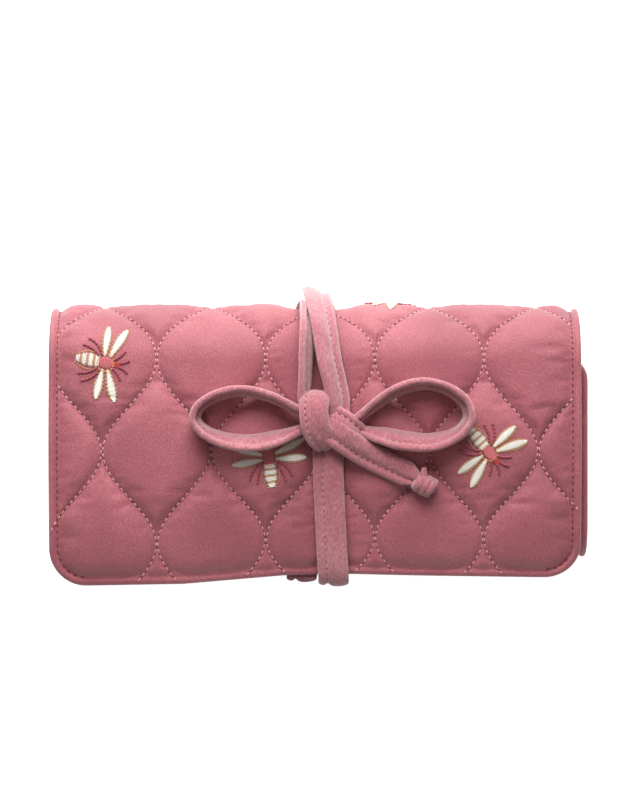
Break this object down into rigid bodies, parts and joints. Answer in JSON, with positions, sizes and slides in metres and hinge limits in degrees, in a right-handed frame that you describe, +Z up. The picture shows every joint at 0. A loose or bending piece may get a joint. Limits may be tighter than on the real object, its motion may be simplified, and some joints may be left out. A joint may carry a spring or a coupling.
{
  "type": "jewelry roll",
  "caption": "Rolled quilted velvet jewelry case tied with a bow; flap and lower panel fold out flat over a slip pocket, a zip pocket and a snap-fastened ring bar",
  "frame": {"origin": "on the table plane under the middle of the closed, tied roll lying on its back", "axes": "+X along the roll to the right as seen from the front, +Y towards its top fold, +Z up through the front flap"},
  "size_m": [0.223, 0.1244, 0.0615],
  "materials": {
    "velvet": "matte",
    "tie_velvet": "matte",
    "lining": "satin",
    "filling": "matte",
    "brass": "polished"
  },
  "bodies": {
    "back": {"back_outer": "velvet", "back_wadding": "filling", "back_lining": "lining", "zip_pocket_face": "lining", "zip_pocket_gusset": "lining", "zip_tape_upper": "lining", "zip_tape_lower": "lining", "zip_teeth_upper": "brass", "zip_teeth_lower": "brass", "zip_stop_left": "brass", "zip_stop_right": "brass"},
    "top_fold": {"top_fold_outer": "velvet", "top_fold_wadding": "filling", "top_fold_lining": "lining"},
    "flap": {"flap_outer": "velvet", "flap_wadding": "filling", "flap_lining": "lining", "flap_pocket_face": "lining", "flap_pocket_gusset": "lining"},
    "bottom_fold": {"bottom_fold_outer": "velvet", "bottom_fold_wadding": "filling", "bottom_fold_lining": "lining"},
    "lower_panel": {"lower_outer": "velvet", "lower_wadding": "filling", "lower_lining": "lining", "ring_bar_anchor": "lining", "snap_stud": "brass"},
    "ring_bar": {"ring_bar_core": "filling", "ring_bar_cover": "lining", "ring_bar_snap_tab": "lining", "snap_socket": "brass"},
    "zip_slider": {"zip_slider": "brass"},
    "zip_pull": {"zip_pull": "brass"},
    "tie": {"tie_turn_first": "tie_velvet", "tie_turn_second": "tie_velvet", "tie_knot_wrap": "tie_velvet", "tie_knot_crossing": "tie_velvet", "tie_loop_left": "tie_velvet", "tie_loop_right": "tie_velvet", "tie_tail": "tie_velvet", "tie_end_knot": "tie_velvet"}
  },
  "joints": [
    {"name": "top_fold_lower", "type": "hinge", "parent": "back", "child": "top_fold", "pos_m": [0, 0.04791, 0.00829], "axis": [-1, 0, 0], "range_deg": [0, 90], "deforming": ["flap_outer", "flap_wadding", "flap_lining", "flap_pocket_face", "flap_pocket_gusset"]},
    {"name": "top_fold_upper", "type": "hinge", "parent": "top_fold", "child": "flap", "pos_m": [0, 0.04791, 0.04002], "axis": [-1, 0, 0], "range_deg": [0, 90]},
    {"name": "bottom_fold_lower", "type": "hinge", "parent": "back", "child": "bottom_fold", "pos_m": [0, -0.04479, 0.00671], "axis": [1, 0, 0], "range_deg": [0, 90]},
    {"name": "bottom_fold_upper", "type": "hinge", "parent": "bottom_fold", "child": "lower_panel", "pos_m": [0, -0.04479, 0.02689], "axis": [1, 0, 0], "range_deg": [0, 90]},
    {"name": "tie_slip", "type": "slide", "parent": "back", "child": "tie", "axis": [1, 0, 0], "range_m": [0, 0.22], "deforming": ["tie_turn_first", "tie_turn_second", "tie_knot_wrap", "tie_knot_crossing", "tie_loop_left", "tie_loop_right", "tie_tail", "tie_end_knot"]},
    {"name": "ring_bar_lift", "type": "hinge", "parent": "lower_panel", "child": "ring_bar", "pos_m": [-0.0722, -0.008, 0.025], "axis": [0, 1, 0], "range_deg": [0, 45]},
    {"name": "zip_slide", "type": "slide", "parent": "back", "child": "zip_slider", "axis": [1, 0, 0], "range_m": [0, 0.145]},
    {"name": "zip_pull_lift", "type": "hinge", "parent": "zip_slider", "child": "zip_pull", "pos_m": [-0.0778, 0.014, 0.0179], "axis": [0, -1, 0], "range_deg": [0, 20]}
  ],
  "couplings": [
    {"joint": "top_fold_upper", "follows": "top_fold_lower", "ratio": 1},
    {"joint": "bottom_fold_lower", "follows": "top_fold_lower", "ratio": 1},
    {"joint": "bottom_fold_upper", "follows": "top_fold_lower", "ratio": 1},
    {"joint": "tie_slip", "follows": "top_fold_lower", "m_per_rad": 0.14006},
    {"joint": "ring_bar_lift", "follows": "top_fold_lower", "ratio": 0.5}
  ]
}
